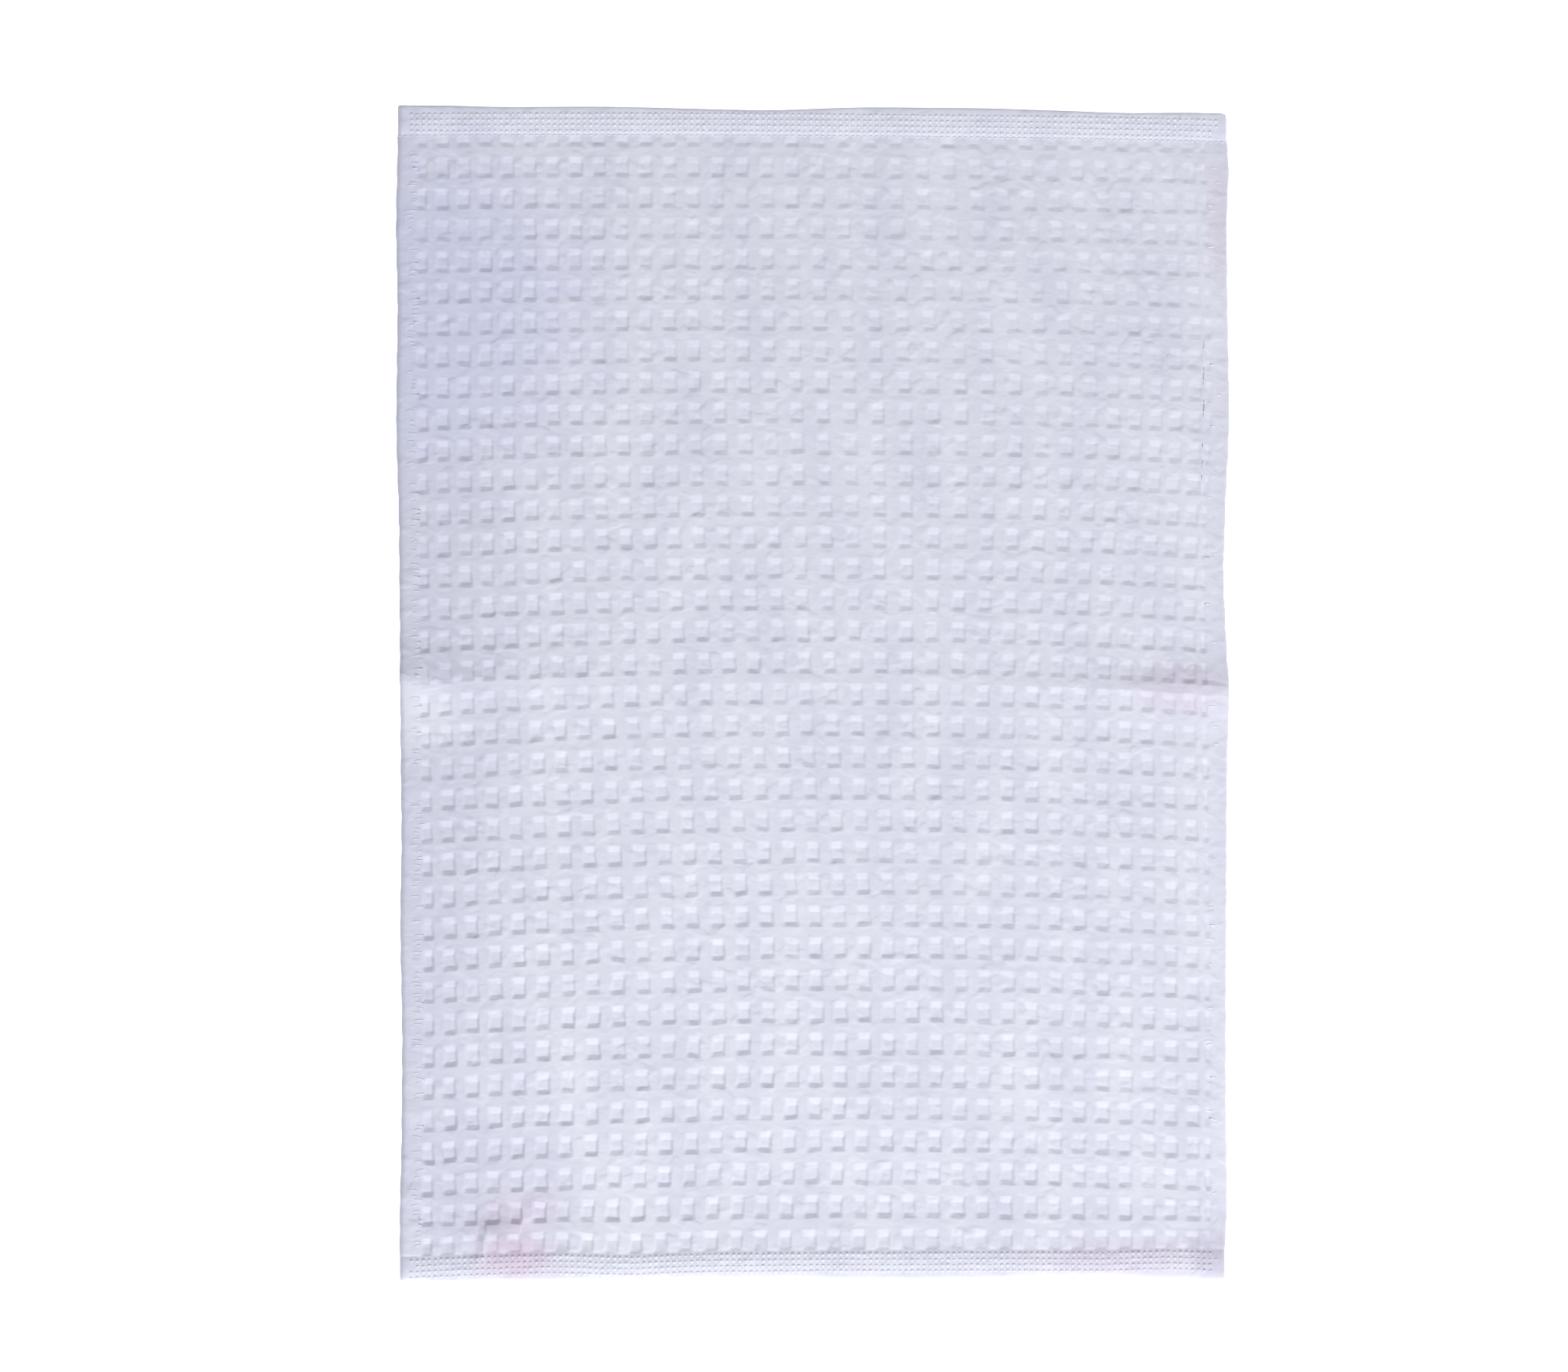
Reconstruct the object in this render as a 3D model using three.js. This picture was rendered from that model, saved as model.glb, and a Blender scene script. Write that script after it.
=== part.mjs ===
// A dish towel of cotton waffle weave, spread out face up on a flat surface.
//
// It is one length of cloth. A flat selvedge runs down each long edge, a hem is turned across each short
// edge, and the puffed waffle field fills the rest. The crease of a single fold stands up as a low ridge
// across its middle.
//
// Millimetres, +Z up. X runs across the towel and Y along it, towards its top hem. The origin is under
// the middle of the towel, on the surface that it lies on.

import * as THREE from "three";

// The cloth, cut and hemmed
const HALF_WIDTH = 250;
const HALF_LENGTH = 354;
const FIELD_THICKNESS = 3;
const SELVEDGE_WIDTH = 10;
const SELVEDGE_THICKNESS = 1.2;
const HEM_DEPTH = 16.5;
const HEM_EDGE_THICKNESS = 1.1;
const HEM_CROWN_THICKNESS = 2.3;

// How far in from a hem or a selvedge the field takes to puff up to its full thickness
const PUFF_RUN = 4;

// The crease: a ridge that stays up where the selvedges are stiff, and has nearly gone in the middle
const CREASE_AT_MIDDLE = 7;
const CREASE_SLANT = -0.0153;
const CREASE_REACH = 34;
const CREASE_LIFT_MIDDLE = 0.4;
const CREASE_LIFT_EDGE = 3.8;
const CREASE_FADE_POWER = 5;

// How far each edge strays outwards from a straight line, as [distance along the edge, stray].
// The long edges are measured from the crosswise middle line, and the short edges from the lengthwise one.
const LEFT_EDGE = [
  [-354, -1], [-340, 0], [-300, -0.3], [-275, -1.2], [-205, -1.6], [-136, -0.4], [-90, -1.2], [-20, -0.6],
  [95, 0.2], [165, 2], [235, 1.2], [285, 2.2], [330, 1.2], [354, 0.4],
];
const RIGHT_EDGE = [
  [-354, -2.2], [-344, -1.2], [-320, 0.6], [-230, -0.2], [-60, 0.4], [3, 1.6], [30, 0.2], [73, -1.7],
  [119, -0.2], [165, 2], [258, 0.7], [290, 0.2], [328, 2.1], [345, 0], [354, -2.8],
];
const TOP_EDGE = [
  [-250, 2], [-215, 1.8], [-190, 0.9], [-135, 1.2], [-24, -1], [32, 0.8], [100, 0.3], [143, -1],
  [190, -2.8], [228, -2.4], [250, -2.8],
];
const BOTTOM_EDGE = [
  [-250, 0.6], [-218, 1.8], [-190, 0.4], [-163, 0.8], [-50, -1], [60, 0.4], [115, -0.6], [171, -2.8],
  [200, -1], [228, 0.8], [250, 0],
];

// The spacing of the facets over the open field
const STEP_ACROSS = 20;
const STEP_ALONG = 17;
// Distances from the crease where the facets bend with it
const CREASE_STATIONS = [0, 4, 9, 15, 23, CREASE_REACH];
// How far across a hem each row of facets lies, from its seam to its outer edge
const HEM_SHARES = [0, 0.25, 0.5, 0.8, 1];

const easing = (t) => t * t * (3 - 2 * t);

// A smooth run through [distance, value] points, level at each point.
function along(points, distance) {
  const next = points.findIndex((point) => point[0] > distance);
  if (next < 0) return points.at(-1)[1];
  if (next === 0) return points[0][1];
  const [fromAt, fromValue] = points[next - 1];
  const [toAt, toValue] = points[next];
  return THREE.MathUtils.lerp(fromValue, toValue, easing((distance - fromAt) / (toAt - fromAt)));
}

// Where a point of the flat cut lies once the edges have strayed. The stray dies away towards the middle.
function strayed(x, y) {
  const acrossShare = Math.abs(x / HALF_WIDTH) ** 3;
  const alongShare = Math.abs(y / HALF_LENGTH) ** 3;
  const sideways = x < 0 ? -along(LEFT_EDGE, y) : along(RIGHT_EDGE, y);
  const lengthways = y < 0 ? -along(BOTTOM_EDGE, x) : along(TOP_EDGE, x);
  return [x + sideways * acrossShare, y + lengthways * alongShare];
}

// The height of the underside: nothing where the towel touches, and more under the ridge of the crease.
function lift(x, y) {
  const fromCrease = Math.abs(y - CREASE_AT_MIDDLE - CREASE_SLANT * x);
  const towardsEdge = Math.abs(x / HALF_WIDTH) ** CREASE_FADE_POWER;
  const height = THREE.MathUtils.lerp(CREASE_LIFT_MIDDLE, CREASE_LIFT_EDGE, towardsEdge);
  const share = Math.min(fromCrease / CREASE_REACH, 1);
  return height * (1 - share) ** 2;
}

// The thickness: flat in the selvedges, domed across the hems, and puffed up in the field.
function thickness(x, y) {
  const intoField = HALF_LENGTH - HEM_DEPTH - Math.abs(y);
  const pastSelvedge = (HALF_WIDTH - SELVEDGE_WIDTH - Math.abs(x)) / PUFF_RUN;
  const puffAcross = easing(THREE.MathUtils.clamp(pastSelvedge, 0, 1));
  const puffAlong = easing(THREE.MathUtils.clamp(intoField / PUFF_RUN, 0, 1));
  const hemShare = Math.max(-intoField, 0) / HEM_DEPTH;
  const dome = 1 - (2 * hemShare - 1) ** 2;
  const hem = THREE.MathUtils.lerp(HEM_EDGE_THICKNESS, HEM_CROWN_THICKNESS, dome);
  const edge = THREE.MathUtils.lerp(hem, SELVEDGE_THICKNESS, puffAlong);
  return THREE.MathUtils.lerp(edge, FIELD_THICKNESS, puffAcross * puffAlong);
}

// Evenly spaced stations from one distance to another, with both ends, no further apart than the step.
function stations(from, to, step) {
  const count = Math.ceil((to - from) / step);
  return Array.from({ length: count + 1 }, (_, k) => from + ((to - from) * k) / count);
}

function acrossStations() {
  const fieldEdge = HALF_WIDTH - SELVEDGE_WIDTH;
  const field = stations(-fieldEdge + PUFF_RUN, fieldEdge - PUFF_RUN, STEP_ACROSS);
  return [-HALF_WIDTH, -fieldEdge, ...field, fieldEdge, HALF_WIDTH];
}

function alongStations() {
  const hemLine = HALF_LENGTH - HEM_DEPTH;
  const foldEnd = CREASE_AT_MIDDLE + CREASE_REACH;
  const foldStart = CREASE_AT_MIDDLE - CREASE_REACH;
  const above = CREASE_STATIONS.map((distance) => CREASE_AT_MIDDLE + distance);
  const below = CREASE_STATIONS.slice(1).map((distance) => CREASE_AT_MIDDLE - distance).reverse();
  const lower = stations(-hemLine + PUFF_RUN, foldStart, STEP_ALONG).slice(0, -1);
  const upper = stations(foldEnd, hemLine - PUFF_RUN, STEP_ALONG).slice(1);
  const hem = HEM_SHARES.map((share) => hemLine + share * HEM_DEPTH);
  return [...hem.map((y) => -y).reverse(), ...lower, ...below, ...above, ...upper, ...hem];
}

// One closed sheet: a grid of facets for the face, the same grid for the underside, and a rim that joins
// them. The rows of the grid swing with the slant of the crease, and straighten towards the hems.
function sheetGeometry() {
  const columns = acrossStations();
  const rows = alongStations();
  const across = columns.length;
  const layer = across * rows.length;
  const face = [];
  const underside = [];
  for (const row of rows) {
    for (const x of columns) {
      const slant = CREASE_SLANT * x * (1 - Math.abs(row / HALF_LENGTH));
      const y = row + slant;
      const [placeX, placeY] = strayed(x, y);
      const low = lift(x, y);
      underside.push(placeX, placeY, low);
      face.push(placeX, placeY, low + thickness(x, y));
    }
  }

  const triangles = [];
  for (let j = 0; j < rows.length - 1; j += 1) {
    for (let i = 0; i < across - 1; i += 1) {
      const a = j * across + i;
      const b = a + 1;
      const c = b + across;
      const d = a + across;
      triangles.push(a, b, c, a, c, d);
      triangles.push(layer + c, layer + b, layer + a, layer + d, layer + c, layer + a);
    }
  }

  // The rim's points in order, anticlockwise seen from above
  const lastRow = (rows.length - 1) * across;
  const rim = [
    ...Array.from({ length: across - 1 }, (_, i) => i),
    ...Array.from({ length: rows.length - 1 }, (_, j) => j * across + across - 1),
    ...Array.from({ length: across - 1 }, (_, i) => lastRow + across - 1 - i),
    ...Array.from({ length: rows.length - 1 }, (_, j) => lastRow - j * across),
  ];
  rim.forEach((top, k) => {
    const nextTop = rim[(k + 1) % rim.length];
    triangles.push(layer + top, layer + nextTop, nextTop, layer + top, nextTop, top);
  });

  const geometry = new THREE.BufferGeometry();
  geometry.setAttribute("position", new THREE.Float32BufferAttribute([...face, ...underside], 3));
  geometry.setIndex(triangles);
  geometry.computeVertexNormals();
  return geometry;
}

const cotton = new THREE.MeshStandardMaterial({ color: 0xdcdeee, roughness: 0.95, metalness: 0 });

const towel = new THREE.Mesh(sheetGeometry(), cotton);
towel.name = "towel";

const group = new THREE.Group();
group.add(towel);

export default group;
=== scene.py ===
# %% [markdown]
# # A cotton dish towel in waffle weave
#
# The towel is one length of cotton, laid flat and face up. A waffle weave makes it puff up into soft
# ridges around rows of small pits. A flat selvedge runs down each long side, and a hem is turned at each
# short end. It was stored folded once across, so the crease of that fold still stands up a little.
#
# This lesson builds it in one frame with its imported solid. The solid gives the outline and stays for
# the physics, and the cloth made here is what is seen.

import math

import bpy
import numpy as np
from mathutils import Matrix, Vector
from mathutils.bvhtree import BVHTree


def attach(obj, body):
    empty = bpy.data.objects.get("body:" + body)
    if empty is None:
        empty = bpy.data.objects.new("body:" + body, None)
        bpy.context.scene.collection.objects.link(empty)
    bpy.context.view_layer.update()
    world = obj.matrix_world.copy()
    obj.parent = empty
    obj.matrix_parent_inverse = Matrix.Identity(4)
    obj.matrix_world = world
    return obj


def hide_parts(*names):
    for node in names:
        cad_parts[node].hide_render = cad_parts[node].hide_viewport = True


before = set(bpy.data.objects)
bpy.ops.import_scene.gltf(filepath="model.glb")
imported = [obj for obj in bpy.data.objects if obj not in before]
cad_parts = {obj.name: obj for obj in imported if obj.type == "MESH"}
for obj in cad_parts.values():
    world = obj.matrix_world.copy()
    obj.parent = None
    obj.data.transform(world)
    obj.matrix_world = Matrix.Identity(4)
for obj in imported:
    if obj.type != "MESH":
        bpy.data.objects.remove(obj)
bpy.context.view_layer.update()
MM = 0.001

# %% [markdown]
# ## The outline
#
# No edge of a washed towel is straight: each one wanders by a millimetre or two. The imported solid
# already has that outline, so it is read from the solid's own side faces and not typed in again. Cloth
# bends smoothly where the solid has corners, so each edge is averaged over a short stretch.

# %% Read the four edges from the solid
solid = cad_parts["towel"].data
SOFTENED_OVER = np.array([-10, -5, 0, 5, 10]) * MM
# A face belongs to a side when its normal points that way by more than this
POINTS_OUT = 0.7


def edge_of_solid(side):
    """How far out the solid's edge lies on one side, as a smooth function of the place along that edge."""
    facing, runs_along = (side[0], 1) if side[0] else (side[1], 0)
    lies_across = 1 - runs_along
    side_faces = [face for face in solid.polygons if face.normal[lies_across] * facing > POINTS_OUT]
    corners = [solid.vertices[v].co for v in {v for face in side_faces for v in face.vertices}]
    outline = {round(corner[runs_along], 5): corner[lies_across] for corner in corners}
    along, across = np.array(sorted(outline.items())).T

    def edge(place):
        return sum(np.interp(place + shift, along, across) for shift in SOFTENED_OVER) / len(SOFTENED_OVER)

    return edge


left_edge = edge_of_solid((-1, 0))
right_edge = edge_of_solid((1, 0))
bottom_edge = edge_of_solid((0, -1))
top_edge = edge_of_solid((0, 1))
edges = (left_edge, right_edge, bottom_edge, top_edge)
print("edges at mid-length, mm:", *(round(float(edge(0.0)) / MM, 1) for edge in edges))

# %% [markdown]
# ## The lattice of pits
#
# A waffle weave repeats in columns and rows. On the loom they form a true lattice, but washing draws the
# cloth in at the selvedges and every tug moves a few columns sideways. The lattice could be a plain array,
# which looks printed. Here it is a rule: an even lattice, drawn in towards the sides, bowed a little,
# and pulled in four places. Column and row numbers are whole at the middle of a pit.

# %% Where a column and a row cross
COLUMNS = 34
ROWS = 36
COLUMN_PITCH = 14.4 * MM
ROW_PITCH = 19.4 * MM
BOTTOM_SEAM_ROW = -0.265
TOP_SEAM_ROW = 35.045
MIDDLE_COLUMN = (COLUMNS - 1) / 2
MIDDLE_ROW = 17.765
HALF_THE_ROWS = 17
# Across the towel: the lattice's middle and half width, and how far it is drawn in and leans
MIDDLE_ACROSS = 3.7 * MM
HALF_ACROSS = 255.6 * MM
DRAWN_IN = 16.9 * MM
LEAN = 3.7 * MM
# Along the towel, in millimetres: its middle and half length, how much closer the rows lie at the top
# than halfway, and how far the rows turn
MIDDLE_ALONG = 14.9
HALF_ALONG = 323.1
CLOSER_AT_TOP = 5.6
ROW_TURN = 1.8
# How far a row's ends lie beyond its middle: at mid-length, then for each b and each b squared along it
ROW_BOW = (-7.3, 1.9, 3.7)
# Pulls on the cloth, as (place across, place along, sideways shift, reach). Places and reach are shares of
# half the towel, counted from its middle.
PULLS = [
    (0.58, 0.55, 15 * MM, 0.33),
    (-0.31, -0.67, 11.5 * MM, 0.41),
    (0.23, 0.89, -15 * MM, 0.57),
    (1.05, 0.2, -4 * MM, 0.25),
]
LAST_COLUMN_IN = 3.4 * MM
# Stitching has pulled the bottom seam up and down, a row or so into the cloth: (place across, shift)
SEAM_PULLS = [
    (-1.05, 1.8 * MM), (-0.8, 1.3 * MM), (-0.65, 0.7 * MM), (-0.48, -2.0 * MM), (-0.3, -1.3 * MM),
    (-0.12, -1.6 * MM), (0.24, -1.7 * MM), (0.52, -0.9 * MM), (0.7, -0.2 * MM), (0.88, 2.0 * MM),
]
SEAM_PULL_REACH = 1.0


def shares(column, row):
    """A place in the weave, from -1 to 1 across the towel and along it."""
    return (column - MIDDLE_COLUMN) / MIDDLE_COLUMN, (row - MIDDLE_ROW) / HALF_THE_ROWS


def across_at(column, row):
    """How far across the towel a column lies where it meets a row."""
    a, b = shares(column, row)
    x = MIDDLE_ACROSS + HALF_ACROSS * a - DRAWN_IN * a**3 + LEAN * b * (1 - a * a)
    for at_a, at_b, shift, reach in PULLS:
        x = x + shift * np.exp(-((a - at_a) ** 2 + (b - at_b) ** 2) / (2 * reach**2))
    return x - LAST_COLUMN_IN * np.clip(column - (COLUMNS - 2), 0, 1)


def along_at(column, row):
    """How far along the towel a row lies where it meets a column."""
    a, b = shares(column, row)
    bow = ROW_BOW[0] + ROW_BOW[1] * b + ROW_BOW[2] * b * b
    y = MM * (MIDDLE_ALONG + HALF_ALONG * b - CLOSER_AT_TOP * b * b - ROW_TURN * a * b + bow * a * a)
    reach = np.exp(-(((row - BOTTOM_SEAM_ROW) / SEAM_PULL_REACH) ** 2))
    return y + reach * np.interp(a, *zip(*SEAM_PULLS))


middle = (across_at(MIDDLE_COLUMN, MIDDLE_ROW), along_at(MIDDLE_COLUMN, MIDDLE_ROW))
print("middle of the weave, mm:", [round(float(v) / MM, 1) for v in middle])

# %% [markdown]
# ## The sheet before it puffs up
#
# A pit needs mesh lines exactly at its rim and at the foot of its walls. An even grid would miss them, and
# the shape would change from pit to pit. A guard line close beside each rim and each foot keeps the bend
# there tight, as a bevel does. So the sheet is drawn as a net with eight lines for each column of pits and
# eight for each row. The pits are narrower at the waist, and the lines follow that. The hems and selvedges
# continue the same lines to the edge of the cloth.

# %% The net's lines along the towel: rows of pits, and hems
PIT_HALF_WIDTH = 3.9 * MM
WALL_RUN = 1.2 * MM
WAIST_SHARE = 0.8
# Where a pit's lower and upper walls start and end, in rows from its middle. The upper wall is the longer.
LOWER_RIM, LOWER_FOOT, UPPER_FOOT, UPPER_RIM = -0.325, -0.205, 0.15, 0.325
WIDEST = 0.235
# How far a guard line lies from its rim or foot
GUARD = 0.7 * MM
GUARD_ROWS = GUARD / ROW_PITCH
# The outermost columns are cut short by the selvedge
WIDTH_SHARES = {0: 0.78, COLUMNS - 1: 0.46}
# Each line of a row, in rows from the middle of the pit, and whether the underside has it too
ROW_LINES = [
    (LOWER_RIM - GUARD_ROWS, 1), (LOWER_RIM, 0), (LOWER_FOOT, 0), (LOWER_FOOT + GUARD_ROWS, 0),
    (UPPER_FOOT - GUARD_ROWS, 1), (UPPER_FOOT, 0), (UPPER_RIM, 0), (UPPER_RIM + GUARD_ROWS, 0),
]
# Each line of a hem, as a share of the way from its seam to the edge, and whether the underside has it too
HEM_LINES = [
    (0.03, 0), (0.1, 1), (0.22, 0), (0.36, 0), (0.5, 1),
    (0.64, 0), (0.78, 0), (0.89, 1), (0.96, 0), (1, 1),
]
# A line of the field that comes closer than this to a seam, in rows, is left out
CLOSEST = 0.015

field_rows = [(row + place, keep) for row in range(ROWS) for place, keep in ROW_LINES]
field_rows = [line for line in field_rows if BOTTOM_SEAM_ROW + CLOSEST < line[0] < TOP_SEAM_ROW - CLOSEST]
field_rows = [(BOTTOM_SEAM_ROW, 1), *field_rows, (TOP_SEAM_ROW, 1)]
# Every line as (row, share of the way across a hem, below or above the field, kept by the underside)
lines = [(BOTTOM_SEAM_ROW, share, -1, keep) for share, keep in reversed(HEM_LINES)]
lines += [(row, 0, 0, keep) for row, keep in field_rows]
lines += [(TOP_SEAM_ROW, share, 1, keep) for share, keep in HEM_LINES]
row_number, hem_share, hem_side, row_kept = (np.array(values)[:, None] for values in zip(*lines))
print("lines along:", len(lines), "of which the underside keeps", int(row_kept.sum()))

# %% The net's lines across the towel: selvedges, and columns of pits
LEFT_SELVEDGE = 9.8 * MM
RIGHT_SELVEDGE = 8.3 * MM
# A selvedge's border stays at least this far from the outermost pits
BORDER_CLEARANCE = 0.8 * MM
# Shares of the selvedge's width from the edge of the cloth, and whether the underside has the line too
SELVEDGE_LINES = [(0, 1), (0.06, 0), (0.16, 1), (0.33, 0), (0.6, 1)]
# Each line of a column: which side of the pit, how far outside that side, kept by the underside
OUTSIDE = [(WALL_RUN / 2 + GUARD, 1), (WALL_RUN / 2, 0), (-WALL_RUN / 2, 0), (-WALL_RUN / 2 - GUARD, 0)]
PIT_LINES = [(-1, *line) for line in OUTSIDE] + [(1, out, 0) for out, keep in reversed(OUTSIDE)]


def smooth(value, start=0.0, end=1.0):
    """From 0 at the start to 1 at the end, with a soft beginning and a soft finish."""
    share = np.clip((value - start) / (end - start), 0, 1)
    return share * share * (3 - 2 * share)


from_pit = row_number - np.round(row_number)
waisted = WAIST_SHARE + (1 - WAIST_SHARE) * smooth(np.abs(from_pit), 0, WIDEST)
x_lines, side_lines, column_lines, column_kept = [], [], [], []
for column in range(COLUMNS):
    centre = across_at(column, row_number)
    half = PIT_HALF_WIDTH * WIDTH_SHARES.get(column, 1) * waisted
    for side, out, keep in PIT_LINES:
        offset = side * (half + np.maximum(out, -half / 2))
        x_lines.append(centre + offset)
        side_lines.append(np.full_like(half, out))
        column_lines.append(column + offset / COLUMN_PITCH)
        column_kept.append(keep)
y_of_row = along_at(0.0, row_number)
left = left_edge(y_of_row)
right = right_edge(y_of_row)
left_field = np.minimum(left + LEFT_SELVEDGE, x_lines[0] - BORDER_CLEARANCE)
right_field = np.maximum(right - RIGHT_SELVEDGE, x_lines[-1] + BORDER_CLEARANCE)
left_lines = [left + share * (left_field - left) for share, keep in SELVEDGE_LINES] + [left_field]
right_lines = [right + share * (right_field - right) for share, keep in [(1, 1), *reversed(SELVEDGE_LINES)]]
x = np.hstack(left_lines + x_lines + right_lines)
first_columns = [(line - x_lines[0]) / COLUMN_PITCH for line in left_lines]
last_columns = [COLUMNS - 1 + (line - x_lines[-1]) / COLUMN_PITCH for line in right_lines]
column_number = np.hstack(first_columns + column_lines + last_columns)
# A selvedge's lines all count as well outside the nearest pit
out_of_pit = [np.full_like(left, COLUMN_PITCH / 4)] * len(left_lines)
from_side = np.hstack(out_of_pit + side_lines + out_of_pit)
selvedge_kept = [keep for share, keep in SELVEDGE_LINES]
column_kept = selvedge_kept + [1] + column_kept + [1] + selvedge_kept[::-1]
print("lines across:", x.shape[1], "of which the underside keeps", sum(column_kept))

# %% [markdown]
# ## Heights written on the sheet
#
# The relief itself is left to Geometry Nodes. What the nodes need to know about each point is written on
# it as named attributes, because a point's place alone can't tell which pit it belongs to: which row it is
# in, how far it is outside its pit's side, how strong the pits are there, how high the top of the cloth
# stands, and how far a crease or a pucker lifts it. One more says how much painted shade darkens the
# outermost threads of the left selvedge, where its edge turns down away from the lamp.

# %% Places along the towel, and the hems
SCALLOP = 0.3 * MM
SCALLOP_REACH = 6 * MM
seam_y = along_at(column_number, row_number)
end_y = np.where(hem_side < 0, bottom_edge(x), top_edge(x))
y = seam_y + hem_share * (end_y - seam_y)
bottom_seam = along_at(column_number, BOTTOM_SEAM_ROW)
top_seam = along_at(column_number, TOP_SEAM_ROW)
# Selvedges draw in a little at every row of pits
at_sides = smooth(SCALLOP_REACH - np.minimum(x - left, right - x), 0, SCALLOP_REACH)
x = x + np.sign(x) * at_sides * SCALLOP * np.cos(2 * math.pi * row_number) * (hem_share == 0)
# The turned corners are blunt: (side, end) and radius, with the sharpest at the top left
CORNERS = {(-1, -1): 2.0 * MM, (1, -1): 2.5 * MM, (-1, 1): 1.0 * MM, (1, 1): 3.5 * MM}
from_end = np.minimum(y - bottom_edge(x), top_edge(x) - y)
blunted = np.zeros_like(x)
for (side, end), radius in CORNERS.items():
    short = np.clip(radius - from_end, 0, radius)
    here = (np.sign(x) == side) & (hem_side == end)
    blunted += here * side * (radius - np.sqrt(radius**2 - short**2))
x = x - at_sides * blunted
print("corners are blunted by up to", round(float(np.abs(at_sides * blunted).max()) / MM, 1), "mm")

# %% How high the cloth stands, and where it has pits
FIELD_HEIGHT = 3.0 * MM
LEFT_HEIGHT = 2.8 * MM
RIGHT_HEIGHT = 1.8 * MM
# The field rises from a selvedge between these distances from its border
RISES_BETWEEN = (-4 * MM, 10 * MM)
# Of the bottom hem and of the top hem
SEAM_HEIGHT = {-1: 4.2 * MM, 1: 3.0 * MM}
HEM_EDGE_HEIGHT = {-1: 3.7 * MM, 1: 3.9 * MM}
HEM_DOME = {-1: 1.0 * MM, 1: 0.45 * MM}
# The field climbs onto the thicker hem over this distance
SEAM_RUN = {-1: 38 * MM, 1: 8 * MM}
SEAM_GROOVE = 0.3 * MM
SEAM_HALF_WIDTH = 1.1 * MM
# The cloth turns down over the last few millimetres of its edge, most at the left selvedge, which curls.
# Each is (over what distance, share of the height left at the very edge).
LEFT_ROUNDING = (4.5 * MM, 0.1)
RIGHT_ROUNDING = (1.8 * MM, 0.4)
BOTTOM_ROUNDING = (2.5 * MM, 0.4)
TOP_ROUNDING = (1.0 * MM, 0.87)
# The relief is crispest at the bottom left, and washed softest at the top
CRISPNESS = 1.07
SOFTER_UPWARDS = 0.26
SOFTER_RIGHTWARDS = 0.15
PITS_FADE_AT_SIDES = 5 * MM
PITS_FADE_AT_SEAMS = 3 * MM
# Painted shade along the left edge, where the cloth turns down away from the lamp: how far in it reaches
EDGE_SHADE_WIDTH = 4 * MM


def rounded(distance, over, least):
    """From the share of height left at the very edge up to 1, along a quarter circle."""
    short = 1 - np.clip(distance / over, 0, 1)
    return least + (1 - least) * np.sqrt(np.clip(1 - short * short, 0, 1))


def of_end(values):
    """The bottom hem's value on the lower half of the towel, and the top hem's on the upper half."""
    return np.where(row_number < ROWS / 2, values[-1], values[1])


from_seam = np.maximum(bottom_seam - y, y - top_seam)
from_selvedge = np.minimum(x - left_field, right_field - x)
in_hem = hem_share > 0
side_height = np.where(x < 0, LEFT_HEIGHT, RIGHT_HEIGHT)
level = side_height + (FIELD_HEIGHT - side_height) * smooth(from_selvedge, *RISES_BETWEEN)
at_seam = of_end(SEAM_HEIGHT) - (FIELD_HEIGHT - level)
level = at_seam + (level - at_seam) * smooth(-from_seam, 0, of_end(SEAM_RUN))
dome = 4 * hem_share * (1 - hem_share) * of_end(HEM_DOME)
to_edge = (of_end(HEM_EDGE_HEIGHT) - of_end(SEAM_HEIGHT)) * hem_share
level = np.where(in_hem, at_seam + to_edge + dome, level)
level = level - SEAM_GROOVE * np.exp(-((from_seam / SEAM_HALF_WIDTH) ** 2))
level = level * rounded(x - left, *LEFT_ROUNDING) * rounded(right - x, *RIGHT_ROUNDING)
level = level * rounded(y - bottom_edge(x), *BOTTOM_ROUNDING) * rounded(top_edge(x) - y, *TOP_ROUNDING)
a, b = shares(column_number, row_number)
pits = smooth(from_selvedge, 0, PITS_FADE_AT_SIDES) * smooth(-from_seam, 0, PITS_FADE_AT_SEAMS) * ~in_hem
pits = pits * (CRISPNESS - SOFTER_UPWARDS * b - SOFTER_RIGHTWARDS * a)
# Painted shade at the left edge: full at the edge, gone a few millimetres further in
painted_edge_shade = 1 - smooth(x - left, 0, EDGE_SHADE_WIDTH)
print("cloth stands", round(level.min() / MM, 2), "to", round(level.max() / MM, 2), "mm high")

# %% [markdown]
# ## Creases
#
# The fold's crease is a ridge across the whole towel: it has nearly gone in the soft middle and stands
# up at the stiff selvedges. Near the bottom hem the stitching has gathered the cloth into a few small
# puckers. A cloth simulation would put such marks anywhere, so these are placed one by one, as soft
# ridges and troughs along short lines.

# %% The fold's crease and the puckers
HALF_WIDTH = 250 * MM
CREASE_AT_MIDDLE = 7 * MM
CREASE_SLANT = -0.0153
CREASE_REACH = 34 * MM
CREASE_LIFT_MIDDLE = 0.4 * MM
CREASE_LIFT_EDGE = 4.3 * MM
CREASE_FADE_POWER = 4
# From one end to the other, half width, height: all in millimetres
PUCKERS = [
    ((-169, -308), (-178, -321), 1.8, 1.2),
    ((-199, -316), (-204, -338), 2.6, -1.0),
    ((-196, -322), (-200, -340), 2.0, 0.9),
    ((-253, -303), (-236, -304), 6.0, 0.7),
    ((-253, -251), (-238, -252), 5.0, 0.4),
    ((-253, -60), (-240, -58), 6.0, 0.4),
    ((238, 9), (250, 5), 1.8, -0.6),
]


def pucker_height(x_mm, y_mm, start, end, half_width, height):
    """A soft ridge, or a trough where the height is negative, along a line from start to end."""
    way = np.subtract(end, start)
    share = ((x_mm - start[0]) * way[0] + (y_mm - start[1]) * way[1]) / (way @ way)
    nearest = np.clip(share, 0, 1)
    away = np.hypot(x_mm - start[0] - nearest * way[0], y_mm - start[1] - nearest * way[1])
    return height * MM * np.exp(-((away / half_width) ** 2))


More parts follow.
